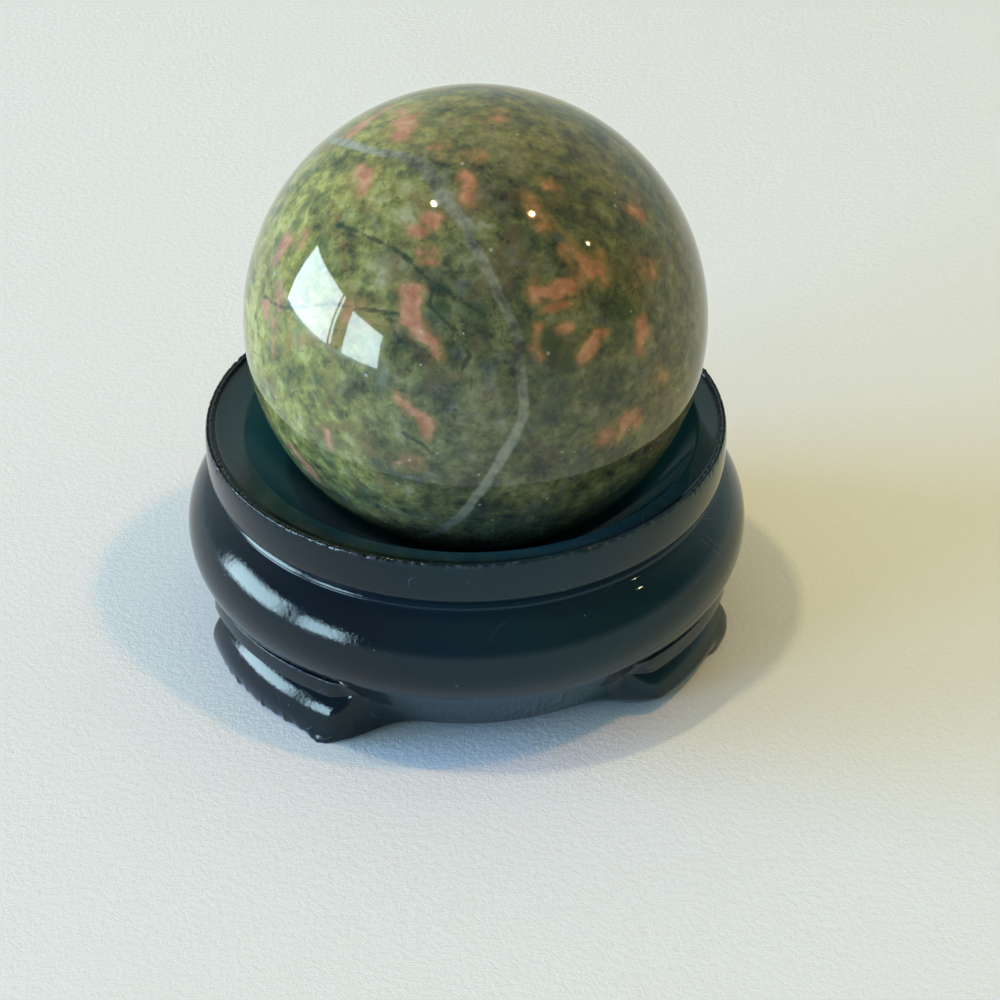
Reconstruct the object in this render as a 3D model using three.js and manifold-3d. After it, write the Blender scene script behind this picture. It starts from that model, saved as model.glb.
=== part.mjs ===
// A polished stone sphere resting in a small turned wooden stand with four low feet.
// Millimetres, +Z up. The origin is on the table, under the middle of the stand, and the
// stand's front, between two of its feet, faces -Y.
import * as THREE from "three";
import { ConvexGeometry } from "three/addons/geometries/ConvexGeometry.js";
import { mergeVertices } from "three/addons/utils/BufferGeometryUtils.js";
import Module from "manifold-3d";

// The sphere. It lies a little to the right of the stand's axis, on the floor of the dish.
const SPHERE_RADIUS = 20;
const SPHERE_OFF_AXIS = 0.92;
const SPHERE_REST_HEIGHT = 10;
const SEAT_GAP = 0.3;

// The stand, turned from one piece of wood: heights are measured up from the table.
const STAND_HEIGHT = 20.4;
const RIM_RADIUS = 22.9;
const RIM_WIDTH = 2.8;
const RIM_FALL = 0.75;
const BAND_HEIGHT = 3.85;
const BAND_BULGE = 0.2;
const FILLET_RADIUS = 22.5;
const FILLET_HEIGHT = 0.6;
const ROLL_CENTRE_RADIUS = 19.67;
const ROLL_CENTRE_HEIGHT = 10.37;
const ROLL_THICKNESS = 5.5;
const ROLL_TOP_ANGLE = 59;
const ROLL_BOTTOM_ANGLE = -32;
const STRIP_RADIUS = 24.0;
const STRIP_BOTTOM = 5.1;
const STRIP_TOP = 6.75;
const BEAD_RADIUS = 23.3;
const BEAD_PROUD = 0.9;
const BEAD_TOP = 4.65;
const BEAD_START_ANGLE = -60;
const BEAD_END_ANGLE = 75;
const PAD_OUTER_RADIUS = 23.4;
const PAD_INNER_RADIUS = 17.5;
const UNDERSIDE_HOLLOW = 2.0;
const UNDERSIDE_SLOPE = 0.5;
const QUIRK_DEPTH = 0.8;
const QUIRK_WIDTH = 0.45;
const EDGE_BREAK = 0.1;

// The dish that the sphere lies in.
const DISH_OFF_AXIS = 0.45;
const DISH_RADIUS = 25.3;
const DISH_FLAT_RADIUS = 3;
const DISH_TOP_ANGLE = -28;

// Four gaps part the feet. They were cut by hand and differ: each is given as the direction
// of its middle, turned from the front, and half the angle it takes out of the strip.
const GAPS = [
  { turn: 5.5, halfAngle: 30 },
  { turn: 96, halfAngle: 21 },
  { turn: 183, halfAngle: 21 },
  { turn: 269, halfAngle: 21 },
];
// The back wall of a gap leans: it meets the roll at the top and draws in to the bottom edge.
const GAP_WALL_TOP = { radius: 24.33, height: 7.46 };
const GAP_WALL_BOTTOM = { radius: 19.85, height: 1.2 };
// The end walls of a gap splay: outward by this angle, and wider at the table than at the strip.
const GAP_END_FLARE = 45;
const GAP_END_SPREAD = 1.8;
const GAP_ARCH_RISE = 1.2;

// How far a cutter reaches past what it cuts.
const CUTTER_BELOW = -1;
const CUTTER_TOP = 9;
const CUTTER_OUTER_RADIUS = 30;
const CUTTER_INNER_REACH = 12;

// Points closer together than this are one point.
const SAME_POINT = 1e-4;

// How finely the curves are cut into flats.
const SPHERE_SEGMENTS = 48;
const STAND_SEGMENTS = 72;
const ARCH_SEGMENTS = 120;
const BEAD_STEPS = 5;
const ROLL_LOWER_STEPS = 4;
const ROLL_UPPER_STEPS = 6;
const BAND_STEPS = 4;
const DISH_STEPS = 9;

const QUARTER_TURN = Math.PI / 2;
const toRadians = THREE.MathUtils.degToRad;
const wasm = await Module();
wasm.setup();

// A point of a turned profile: its radius from the axis and its height.
function point(radius, height) {
  return new THREE.Vector2(radius, height);
}

// Points along part of an ellipse in the profile plane. An angle of 0 points away from the
// axis and 90 points up.
function arc(centre, halfWidth, halfHeight, startAngle, endAngle, steps) {
  const points = [];
  for (let step = 0; step <= steps; step += 1) {
    const angle = toRadians(startAngle + ((endAngle - startAngle) * step) / steps);
    const radius = centre.x + halfWidth * Math.cos(angle);
    points.push(point(radius, centre.y + halfHeight * Math.sin(angle)));
  }
  return points;
}

// A profile turned about the Z axis.
function turned(points, segments) {
  const geometry = new THREE.LatheGeometry(points, segments);
  geometry.rotateX(QUARTER_TURN);
  return geometry;
}

// A closed three.js geometry as a solid that can be joined and cut.
function solidOf(geometry) {
  const bare = geometry.clone();
  bare.deleteAttribute("normal");
  bare.deleteAttribute("uv");
  const merged = mergeVertices(bare, SAME_POINT);
  const mesh = new wasm.Mesh({
    numProp: 3,
    vertProperties: new Float32Array(merged.attributes.position.array),
    triVerts: new Uint32Array(merged.index.array),
  });
  return new wasm.Manifold(mesh);
}

// A solid as a three.js geometry again.
function geometryOf(solid) {
  const mesh = solid.getMesh();
  const geometry = new THREE.BufferGeometry();
  geometry.setAttribute("position", new THREE.BufferAttribute(mesh.vertProperties, mesh.numProp));
  geometry.setIndex(new THREE.BufferAttribute(mesh.triVerts, 1));
  geometry.computeVertexNormals();
  return geometry;
}

// The foot moulding, from the table up: a pad, a bead, a groove and a flat strip.
function footProfile() {
  const beadCentre = point(BEAD_RADIUS, BEAD_TOP / 2);
  return [
    point(PAD_OUTER_RADIUS, 0),
    ...arc(beadCentre, BEAD_PROUD, BEAD_TOP / 2, BEAD_START_ANGLE, BEAD_END_ANGLE, BEAD_STEPS),
    point(BEAD_RADIUS, BEAD_TOP),
    point(BEAD_RADIUS, STRIP_BOTTOM - EDGE_BREAK),
    point(STRIP_RADIUS, STRIP_BOTTOM),
    point(STRIP_RADIUS, STRIP_TOP),
  ];
}

// The wide half-round roll, with the groove that parts it from the foot below it.
function rollProfile() {
  const centre = point(ROLL_CENTRE_RADIUS, ROLL_CENTRE_HEIGHT);
  const grooveRadius = STRIP_RADIUS - QUIRK_DEPTH;
  return [
    point(grooveRadius, STRIP_TOP + EDGE_BREAK),
    point(grooveRadius, STRIP_TOP + QUIRK_WIDTH),
    ...arc(centre, ROLL_THICKNESS, ROLL_THICKNESS, ROLL_BOTTOM_ANGLE, 0, ROLL_LOWER_STEPS),
    ...arc(centre, ROLL_THICKNESS, ROLL_THICKNESS, 0, ROLL_TOP_ANGLE, ROLL_UPPER_STEPS).slice(1),
  ];
}

// The thin fillet and groove over the roll, and the band that carries the rim.
function bandProfile() {
  const bandBottom = STAND_HEIGHT - BAND_HEIGHT;
  const grooveRadius = FILLET_RADIUS - QUIRK_DEPTH;
  const bandCentre = point(RIM_RADIUS, bandBottom + BAND_HEIGHT / 2);
  const filletTop = bandBottom - QUIRK_WIDTH;
  return [
    point(FILLET_RADIUS, filletTop - FILLET_HEIGHT),
    point(FILLET_RADIUS, filletTop),
    point(grooveRadius, filletTop + EDGE_BREAK),
    point(grooveRadius, bandBottom),
    ...arc(bandCentre, BAND_BULGE, BAND_HEIGHT / 2, -90, 90, BAND_STEPS),
  ];
}

// The whole stand before the dish and the gaps are cut: its profile runs from the hollow
// underside, round the outside, to the flat top.
function turnedBlank() {
  const rimInside = RIM_RADIUS - RIM_WIDTH;
  return turned(
    [
      point(0, UNDERSIDE_HOLLOW),
      point(PAD_INNER_RADIUS - UNDERSIDE_SLOPE, UNDERSIDE_HOLLOW),
      point(PAD_INNER_RADIUS, 0),
      ...footProfile(),
      ...rollProfile(),
      ...bandProfile(),
      point(rimInside, STAND_HEIGHT - RIM_FALL),
      point(0, STAND_HEIGHT - RIM_FALL),
    ],
    STAND_SEGMENTS,
  );
}

// What the dish takes out: a bowl with a small flat floor, a little off the stand's axis.
function dishCutter() {
  const centre = point(0, SPHERE_REST_HEIGHT - SEAT_GAP + DISH_RADIUS);
  const flatAngle = THREE.MathUtils.radToDeg(Math.asin(DISH_FLAT_RADIUS / DISH_RADIUS));
  const wall = arc(centre, DISH_RADIUS, DISH_RADIUS, flatAngle - 90, DISH_TOP_ANGLE, DISH_STEPS);
  const lowest = point(0, wall[0].y);
  const highest = point(0, wall[wall.length - 1].y);
  const geometry = turned([lowest, ...wall, highest], STAND_SEGMENTS);
  return geometry.translate(DISH_OFF_AXIS, 0, 0);
}

// What hollows out a gap's leaning back wall: a ring, used only between the gap's two ends.
function gapRingCutter() {
  const rise = GAP_WALL_TOP.height - GAP_WALL_BOTTOM.height;
  const lean = (GAP_WALL_TOP.radius - GAP_WALL_BOTTOM.radius) / rise;
  const wallAt = (height) => point(
    GAP_WALL_BOTTOM.radius + lean * (height - GAP_WALL_BOTTOM.height),
    height,
  );
  return turned(
    [
      wallAt(CUTTER_BELOW),
      point(CUTTER_OUTER_RADIUS, CUTTER_BELOW),
      point(CUTTER_OUTER_RADIUS, CUTTER_TOP),
      wallAt(CUTTER_TOP),
      wallAt(CUTTER_BELOW),
    ],
    STAND_SEGMENTS,
  );
}

// How far from a gap's middle line its end wall stands, at one distance from the axis and one
// height. The wall passes through the corner that the gap leaves in the strip.
function gapHalfWidth(halfAngle, distance, height) {
  const cornerWidth = STRIP_RADIUS * Math.sin(toRadians(halfAngle));
  const cornerDistance = STRIP_RADIUS * Math.cos(toRadians(halfAngle));
  const flare = Math.tan(toRadians(GAP_END_FLARE)) * (distance - cornerDistance);
  const spread = (GAP_END_SPREAD * (STRIP_TOP - height)) / STRIP_TOP;
  return cornerWidth + flare + spread;
}

// The block that keeps the ring to one gap: its two ends are the gap's end walls.
function gapBlock(halfAngle) {
  const corners = [];
  for (const height of [CUTTER_BELOW, CUTTER_TOP]) {
    for (const distance of [CUTTER_INNER_REACH, CUTTER_OUTER_RADIUS]) {
      const halfWidth = gapHalfWidth(halfAngle, distance, height);
      corners.push(new THREE.Vector3(-halfWidth, -distance, height));
      corners.push(new THREE.Vector3(halfWidth, -distance, height));
    }
  }
  return new ConvexGeometry(corners);
}

// What cuts the low arch under one gap: a wide cylinder lying along the stand's radius.
function gapArchCutter(halfAngle) {
  const halfWidth = gapHalfWidth(halfAngle, GAP_WALL_BOTTOM.radius, 0);
  const radius = (halfWidth ** 2 + GAP_ARCH_RISE ** 2) / (2 * GAP_ARCH_RISE);
  const geometry = new THREE.CylinderGeometry(radius, radius, CUTTER_OUTER_RADIUS, ARCH_SEGMENTS);
  return geometry.translate(0, -CUTTER_OUTER_RADIUS / 2, GAP_ARCH_RISE - radius);
}

// One gap's cutter, turned to its place.
function gapCutter(gap) {
  const turn = toRadians(gap.turn);
  const ring = solidOf(gapRingCutter());
  const block = solidOf(gapBlock(gap.halfAngle).rotateZ(turn));
  const arch = solidOf(gapArchCutter(gap.halfAngle).rotateZ(turn));
  return ring.intersect(block).add(arch);
}

// The turned blank with the dish and all the gaps cut into it.
function standGeometry() {
  let stand = solidOf(turnedBlank()).subtract(solidOf(dishCutter()));
  for (const gap of GAPS) {
    stand = stand.subtract(gapCutter(gap));
  }
  return geometryOf(stand);
}

// The sphere, with its poles at the top and the bottom.
function sphereGeometry() {
  const geometry = new THREE.SphereGeometry(SPHERE_RADIUS, SPHERE_SEGMENTS, SPHERE_SEGMENTS / 2);
  return geometry.rotateX(QUARTER_TURN);
}

const stone = new THREE.MeshStandardMaterial({ color: 0x6f7a3e, roughness: 0.08, metalness: 0 });
const wood = new THREE.MeshStandardMaterial({ color: 0x1d1416, roughness: 0.15, metalness: 0 });

const sphere = new THREE.Mesh(sphereGeometry(), stone);
sphere.name = "stone_sphere";
sphere.position.set(SPHERE_OFF_AXIS, 0, SPHERE_REST_HEIGHT + SPHERE_RADIUS);

const stand = new THREE.Mesh(standGeometry(), wood);
stand.name = "wooden_stand";

const ornament = new THREE.Group();
ornament.add(sphere, stand);

export default ornament;
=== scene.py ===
# %% [markdown]
# # A polished stone sphere on a turned wooden stand
# The ornament is two loose pieces: a ball of green and pink stone with a pale quartz vein, and
# a small round stand turned from one block of wood, cut into four feet and thickly lacquered.
# The solids in the frame already have the right sizes, but they are faceted. Here each of them
# is replaced by a finer mesh that fills the same space and carries its own finish.

# %% The frame and the sizes
import math

import bpy
import numpy as np
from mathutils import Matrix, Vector


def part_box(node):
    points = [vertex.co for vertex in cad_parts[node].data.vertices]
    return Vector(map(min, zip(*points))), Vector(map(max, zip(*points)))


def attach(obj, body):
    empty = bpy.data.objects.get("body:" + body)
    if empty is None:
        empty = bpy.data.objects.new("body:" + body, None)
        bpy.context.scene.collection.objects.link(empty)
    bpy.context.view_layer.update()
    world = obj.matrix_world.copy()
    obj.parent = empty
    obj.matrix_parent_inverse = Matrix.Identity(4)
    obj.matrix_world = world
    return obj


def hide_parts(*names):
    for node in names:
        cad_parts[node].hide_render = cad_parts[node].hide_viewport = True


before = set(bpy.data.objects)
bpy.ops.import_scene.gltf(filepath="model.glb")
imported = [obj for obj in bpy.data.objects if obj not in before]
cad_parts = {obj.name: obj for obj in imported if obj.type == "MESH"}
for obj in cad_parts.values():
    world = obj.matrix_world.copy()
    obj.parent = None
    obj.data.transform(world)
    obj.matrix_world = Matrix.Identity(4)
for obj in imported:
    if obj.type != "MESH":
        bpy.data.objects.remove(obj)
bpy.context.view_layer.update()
MM = 0.001
stone_low, stone_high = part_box("stone_sphere")
stand_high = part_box("wooden_stand")[1]
stone_radius = (stone_high[2] - stone_low[2]) / 2 / MM
stone_centre = [(low + high) / 2 / MM for low, high in zip(stone_low, stone_high)]
stand_height = stand_high[2] / MM
roll_radius = stand_high[0] / MM
print("stone radius", round(stone_radius, 2), "mm, centre", [round(v, 2) for v in stone_centre])
print("stand height", round(stand_height, 2), "mm, widest radius", round(roll_radius, 2), "mm")

# %% [markdown]
# ## Camera
# The ornament is small and is looked down on from about thirty-five degrees, from close by.
# A long lens keeps the circles of the stand true. The camera is placed and turned
# towards a point just above the table, so the whole ornament and its shadows are in view.

# %% Camera
camera = bpy.data.objects.new("camera", bpy.data.cameras.new("camera"))
bpy.context.collection.objects.link(camera)
camera.data.lens = 86.4
camera.data.sensor_width = 36.0
camera.data.clip_start = 0.01
camera.location = Vector((0.0, -179.35, 134.98)) * MM
look_at = Vector((3.0, 0.0, 10.9)) * MM
camera.rotation_euler = (look_at - camera.location).to_track_quat("-Z", "Y").to_euler()
bpy.context.scene.camera = camera
bpy.context.scene.view_settings.view_transform = "Standard"
print("camera", round((look_at - camera.location).length / MM), "mm away")

# %% [markdown]
# ## Helpers for node trees
# Every finish below is made of nodes, and placing each one by hand makes long code. A few
# small helpers keep it short: they make a node and fill its inputs with values or links, do
# arithmetic, mix two colours, lay a tint over a colour, make a soft step between two values,
# and read a number that was stored on the points of a mesh.

# %% Node helpers
def add_node(tree, kind, inputs=None, **settings):
    made = tree.nodes.new(kind)
    for name, value in settings.items():
        setattr(made, name, value)
    for key, value in (inputs or {}).items():
        connect(tree, value, made.inputs[key])
    return made


def connect(tree, value, socket):
    if isinstance(value, bpy.types.NodeSocket):
        tree.links.new(value, socket)
    else:
        socket.default_value = value


def calc(tree, operation, *values, clamp=False):
    made = add_node(tree, "ShaderNodeMath", operation=operation, use_clamp=clamp)
    for index, value in enumerate(values):
        connect(tree, value, made.inputs[index])
    return made.outputs[0]


def mix_colours(tree, amount, first, second, blend="MIX"):
    made = add_node(tree, "ShaderNodeMix", data_type="RGBA", blend_type=blend)
    connect(tree, amount, made.inputs[0])
    connect(tree, first, made.inputs[6])
    connect(tree, second, made.inputs[7])
    return made.outputs[2]


def overlay(tree, under, mask, strength, tint):
    return mix_colours(tree, calc(tree, "MULTIPLY", mask, strength), under, tint)


def between(tree, value, low, high):
    # 0 at the first limit, 1 at the second, and a soft step between them. With the larger
    # limit first, the step falls instead of rising.
    made = add_node(tree, "ShaderNodeMapRange", interpolation_type="SMOOTHSTEP")
    connect(tree, value, made.inputs["Value"])
    made.inputs["From Min"].default_value = low
    made.inputs["From Max"].default_value = high
    return made.outputs["Result"]


def attribute(tree, name):
    return add_node(tree, "ShaderNodeAttribute", attribute_name=name).outputs["Fac"]


def colour(red, green, blue):
    return (red, green, blue, 1.0)


# %% [markdown]
# ## Two effects that several finishes share
# "Broken tone" is a cloudy value that can be coarse or fine; stone, lacquer and paper all need
# it. "Fine marks" gives sparse specks and thin, wandering scratches for stone and lacquer. Each
# could be copied into every material, but a node group with named inputs is built once, and
# every material places it with its own values.

# %% Shared group: broken tone
def new_group(name, inputs, outputs):
    group = bpy.data.node_groups.new(name, "ShaderNodeTree")
    for title, kind, value in inputs:
        socket = group.interface.new_socket(title, in_out="INPUT", socket_type=kind)
        if value is not None:
            socket.default_value = value
    for title, kind in outputs:
        group.interface.new_socket(title, in_out="OUTPUT", socket_type=kind)
    start = group.nodes.new("NodeGroupInput")
    end = group.nodes.new("NodeGroupOutput")
    return group, start, end


FLOAT = "NodeSocketFloat"
VECTOR = "NodeSocketVector"
tone_group, given, result = new_group(
    "Broken tone",
    [("Vector", VECTOR, None), ("Scale", FLOAT, 1.0), ("Warp", FLOAT, 0.0),
     ("Contrast", FLOAT, 1.0), ("Roughness", FLOAT, 0.6)],
    [("Value", FLOAT)],
)
cloud = add_node(tone_group, "ShaderNodeTexNoise", {
    "Vector": given.outputs["Vector"], "Scale": given.outputs["Scale"],
    "Detail": 5.0, "Roughness": given.outputs["Roughness"],
    "Distortion": given.outputs["Warp"]})
centred = calc(tone_group, "SUBTRACT", cloud.outputs["Fac"], 0.5)
stretched = calc(tone_group, "MULTIPLY", centred, given.outputs["Contrast"])
lifted = calc(tone_group, "ADD", stretched, 0.5, clamp=True)
tone_group.links.new(lifted, result.inputs["Value"])


def tone(tree, vector, scale, warp=0.0, contrast=1.0, roughness=0.6):
    made = add_node(tree, "ShaderNodeGroup", node_tree=tone_group)
    for name, value in (("Vector", vector), ("Scale", scale), ("Warp", warp),
                        ("Contrast", contrast), ("Roughness", roughness)):
        connect(tree, value, made.inputs[name])
    return made.outputs["Value"]


# %% Shared group: fine marks
marks_group, given, result = new_group(
    "Fine marks",
    [("Vector", VECTOR, None), ("Speck scale", FLOAT, 1.0), ("Speck size", FLOAT, 0.1),
     ("Speck share", FLOAT, 0.2), ("Scratch scale", FLOAT, 0.2),
     ("Scratch width", FLOAT, 0.004)],
    [("Specks", FLOAT), ("Scratches", FLOAT)],
)
cells = add_node(marks_group, "ShaderNodeTexVoronoi", {
    "Vector": given.outputs["Vector"], "Scale": given.outputs["Speck scale"]})
cell_parts = add_node(marks_group, "ShaderNodeSeparateColor", {0: cells.outputs["Color"]})
near = calc(marks_group, "LESS_THAN", cells.outputs["Distance"], given.outputs["Speck size"])
chosen = calc(marks_group, "LESS_THAN", cell_parts.outputs[0], given.outputs["Speck share"])
specks = calc(marks_group, "MULTIPLY", near, chosen)
wander = add_node(marks_group, "ShaderNodeTexNoise", {
    "Vector": given.outputs["Vector"], "Scale": given.outputs["Scratch scale"],
    "Detail": 1.0, "Distortion": 0.6})
from_middle = calc(marks_group, "ABSOLUTE", calc(marks_group, "SUBTRACT",
                                                 wander.outputs["Fac"], 0.5))
thin = calc(marks_group, "LESS_THAN", from_middle, given.outputs["Scratch width"])
# A coarser cloud lets the scratches show only in a few places.
few_places = add_node(marks_group, "ShaderNodeTexNoise", {
    "Vector": given.outputs["Vector"], "Scale": 0.31, "Detail": 2.0})
sparse = between(marks_group, few_places.outputs["Fac"], 0.56, 0.62)
scratches = calc(marks_group, "MULTIPLY", thin, sparse)
marks_group.links.new(specks, result.inputs["Specks"])
marks_group.links.new(scratches, result.inputs["Scratches"])


def fine_marks(tree, vector, **amounts):
    made = add_node(tree, "ShaderNodeGroup", node_tree=marks_group)
    tree.links.new(vector, made.inputs["Vector"])
    for name, value in amounts.items():
        made.inputs[name.replace("_", " ").capitalize()].default_value = value
    return made.outputs["Specks"], made.outputs["Scratches"]


print("shared effects:", tone_group.name, "and", marks_group.name)

# %% [markdown]
# ## A material to start from
# Patterns are easiest to judge in millimetres, measured from the middle of the piece. A
# Mapping node turns metres into millimetres and moves the middle to nought. It reads Object
# coordinates, so the pattern stays in the piece wherever the piece is carried.

# %% Material helper
def new_material(name, middle=(0.0, 0.0, 0.0)):
    material = bpy.data.materials.new(name)
    material.use_nodes = True
    tree = material.node_tree
    shader = tree.nodes["Principled BSDF"]
    place = add_node(tree, "ShaderNodeTexCoord")
    in_mm = add_node(tree, "ShaderNodeMapping", {"Vector": place.outputs["Object"]})
    in_mm.inputs["Location"].default_value = [-v for v in middle]
    in_mm.inputs["Scale"].default_value = [1 / MM] * 3
    return material, tree, shader, in_mm.outputs["Vector"]


def bump(tree, shader, height, distance, strength):
    made = add_node(tree, "ShaderNodeBump", {"Height": height})
    made.inputs["Strength"].default_value = strength
    made.inputs["Distance"].default_value = distance
    tree.links.new(made.outputs["Normal"], shader.inputs["Normal"])


# %% [markdown]
# ## The paper under it
# The ornament stands on a sheet of pale cartridge paper. Paper is never quite flat in tone:
# its fibres give it a fine tooth that shows where light grazes it. A plain square would do,
# but rings that widen outwards put the points near the ornament, and a round sheet this large
# never shows its edge. Its tooth is about a tenth of a millimetre deep, so it is only bump.

# %% Paper
def make_sheet(name, radius, rings, spokes):
    corners = [(0.0, 0.0, 0.0)]
    faces = []
    for ring in range(rings):
        reach = radius * ((ring + 1) / rings) ** 2
        for spoke in range(spokes):
            angle = math.tau * spoke / spokes
            corners.append((reach * math.cos(angle), reach * math.sin(angle), 0.0))
    for spoke in range(spokes):
        after = (spoke + 1) % spokes
        faces.append((0, 1 + spoke, 1 + after))
        for ring in range(rings - 1):
            inner = 1 + ring * spokes
            outer = inner + spokes
            faces.append((inner + spoke, outer + spoke, outer + after, inner + after))
    mesh = bpy.data.meshes.new(name)
    mesh.from_pydata(corners, [], faces)
    sheet = bpy.data.objects.new(name, mesh)
    bpy.context.collection.objects.link(sheet)
    return sheet


PAPER_RADIUS = 1.17
TOOTH_DEPTH = 0.12 * MM
paper = make_sheet("paper", PAPER_RADIUS, 12, 96)
paper_finish, tree, shader, in_mm = new_material("pale_paper")
cloudy = tone(tree, in_mm, 0.035, contrast=1.2)
tooth = tone(tree, in_mm, 1.5, warp=0.3, contrast=1.6, roughness=0.7)
fibres = tone(tree, in_mm, 5.0, contrast=1.4)
sheet_tone = mix_colours(tree, cloudy, colour(0.80, 0.80, 0.785), colour(0.815, 0.815, 0.80))
sheet_tone = overlay(tree, sheet_tone, tooth, 0.12, colour(0.76, 0.765, 0.75))
tree.links.new(sheet_tone, shader.inputs["Base Color"])
shader.inputs["Roughness"].default_value = 0.85
shader.inputs["Specular IOR Level"].default_value = 0.0
relief = calc(tree, "ADD", tooth, calc(tree, "MULTIPLY", fibres, 0.35))
bump(tree, shader, relief, TOOTH_DEPTH, 0.6)
paper.data.materials.append(paper_finish)
print("paper:", len(paper.data.polygons), "faces, radius", PAPER_RADIUS, "m")

# %% [markdown]
# ## Light
# The light is soft and comes from two kinds of source: cool daylight from two low windows on
# the left, and three small warm ceiling lamps, two of them nearly overhead. The lamps make the
# two round shadows, one on each side, and the windows make the long pale shapes in the polished
# surfaces. The rest is light from the walls. A built room would do this too, but a background
# is simpler: it lights evenly, and what polished surfaces mirror of it is pale near the
# horizon, dark higher up in front, and pale again behind the ornament.

# %% Windows and lamps
WALL = 1200.0
LAMP_TARGET = (0.0, 0.0, 0.02)
# Each pane is two lamps at almost the same place. One lights the paper with cool daylight, and
# one is only mirrored: a bright window is seen almost white, although its light is blue. The
# mirrored one hangs a little nearer, so that the other doesn't hide it.
# Part, colour, brightness, how much nearer it hangs (mm).
PANE_LAMPS = (
    ("daylight", (0.29, 0.50, 1.0), 27.0, 0),
    ("shine", (0.74, 0.92, 1.0), 16.5, 8),
)


def aim(light_object, target):
    way = Vector(target) - light_object.location
    light_object.rotation_euler = way.to_track_quat("-Z", "Y").to_euler()


def window_pane(name, near_y, far_y, low, high):
    for part, tint, brightness, inset in PANE_LAMPS:
        light = bpy.data.lights.new(name + "_" + part, "AREA")
        light.shape = "RECTANGLE"
        light.size = abs(far_y - near_y) * MM
        light.size_y = (high - low) * MM
        light.color = tint
        light.energy = brightness * math.pi * light.size * light.size_y
        pane = bpy.data.objects.new(light.name, light)
        bpy.context.collection.objects.link(pane)
        pane.location = Vector((inset - WALL, (near_y + far_y) / 2, (low + high) / 2)) * MM
        pane.rotation_euler = (math.radians(90), 0.0, math.radians(-90))
        pane.visible_camera = False
        pane.visible_glossy = part == "shine"
        pane.visible_diffuse = part == "daylight"


def lamp(name, turn, elevation, power, tint, diameter):
    # Turned from the front towards +X and raised, in degrees, one metre away.
    light = bpy.data.lights.new(name, "AREA")
    light.shape = "DISK"
    light.size = diameter * MM
    light.color = tint
    light.energy = power
    made = bpy.data.objects.new(name, light)
    bpy.context.collection.objects.link(made)
    flat = math.cos(math.radians(elevation))
    made.location = (math.sin(math.radians(turn)) * flat,
                     -math.cos(math.radians(turn)) * flat,
                     math.sin(math.radians(elevation)))
    aim(made, LAMP_TARGET)
    made.visible_camera = False


window_pane("window_near", -320, 325, 0, 485)
window_pane("window_edge", -372, -345, 20, 485)
window_pane("window_far", -1120, -535, 0, 440)
lamp("lamp_right", 77.7, 66.3, 2.02, (1.0, 0.53, 0.20), 40)
lamp("lamp_left", -86.7, 74.5, 1.92, (1.0, 0.86, 0.47), 40)
lamp("lamp_low_right", 83.5, 40.6, 0.12, (1.0, 0.72, 0.40), 30)

# %% The room
room = bpy.data.worlds.new("room")
bpy.context.scene.world = room
room.use_nodes = True
tree = room.node_tree
tree.nodes.clear()
near_horizon = colour(0.42, 0.43, 0.42)
higher_up = colour(0.09, 0.12, 0.13)
back_wall = colour(0.58, 0.70, 0.66)
light_from_front = colour(0.270, 0.390, 0.320)
light_from_back = colour(0.560, 0.600, 0.410)
past_the_paper = colour(0.70, 0.73, 0.71)
rays = add_node(tree, "ShaderNodeLightPath")
way = add_node(tree, "ShaderNodeTexCoord")
parts = add_node(tree, "ShaderNodeSeparateXYZ", {0: way.outputs["Generated"]})
height = between(tree, parts.outputs["Z"], 0.0, 0.18)
backwards = between(tree, parts.outputs["Y"], -0.15, 0.75)
front = mix_colours(tree, height, near_horizon, higher_up)
mirrored = mix_colours(tree, backwards, front, back_wall)
behind = between(tree, parts.outputs["Y"], -0.6, 0.6)
even = mix_colours(tree, behind, light_from_front, light_from_back)
lighting = mix_colours(tree, rays.outputs["Is Glossy Ray"], even, mirrored)
seen = mix_colours(tree, rays.outputs["Is Camera Ray"], lighting, past_the_paper)
glow = add_node(tree, "ShaderNodeBackground", {"Color": seen})
add_node(tree, "ShaderNodeOutputWorld", {"Surface": glow.outputs[0]})
print("room:", len(tree.nodes), "nodes")

# %% [markdown]
# ## The stand's profile
# A turner works from a profile: half of the outline, cut through the middle. From the table
# up, this one has a bead, a groove, a flat strip, a wide half-round roll, a thin fillet under
# a plain band, and a rim that falls slightly towards a shallow dish. Arcs give the round
# parts, and every sharp corner is broken by a small curve so that it can catch the light.

# %% Profile points, in millimetres as (radius, height)
rim_radius = 22.9
rim_width = 2.8
rim_fall = 0.75
band_height = 3.85
band_bulge = 0.2
fillet_round = 1.43
fillet_centre = (21.2, 15.087)
roll_thickness = 5.5
roll_centre = (roll_radius - roll_thickness, 10.37)
strip_radius = 24.0
strip_low = 5.1
strip_high = 6.75
bead_round = 3.9
bead_centre = (24.2 - bead_round, 1.4)
pad_outer = 23.9
pad_inner = 17.5
dish_radius = 25.3
dish_centre_height = stone_low[2] / MM - 0.3 + dish_radius
print("roll centred at", [round(v, 2) for v in roll_centre], "mm")
print("dish centred at height", round(dish_centre_height, 2), "mm")


def arc(centre, half_width, half_height, start, end, steps):
    angles = np.radians(np.linspace(start, end, steps))
    return [(centre[0] + half_width * math.cos(a), centre[1] + half_height * math.sin(a))
            for a in angles]


def line(start, end, steps):
    return [tuple(p) for p in np.linspace(start, end, steps)]


def eased(before, corner, after, size):
    # A broken corner: five points of a small curve in place of one sharp point.
    corner = np.array(corner)
    start = np.array(before) - corner
    start = corner + start / np.linalg.norm(start) * size
    end = np.array(after) - corner
    end = corner + end / np.linalg.norm(end) * size
    steps = np.linspace(0, 1, 5)[:, None]
    curve = start * (1 - steps) ** 2 + corner * 2 * steps * (1 - steps) + end * steps ** 2
    return [tuple(p) for p in curve]


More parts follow.
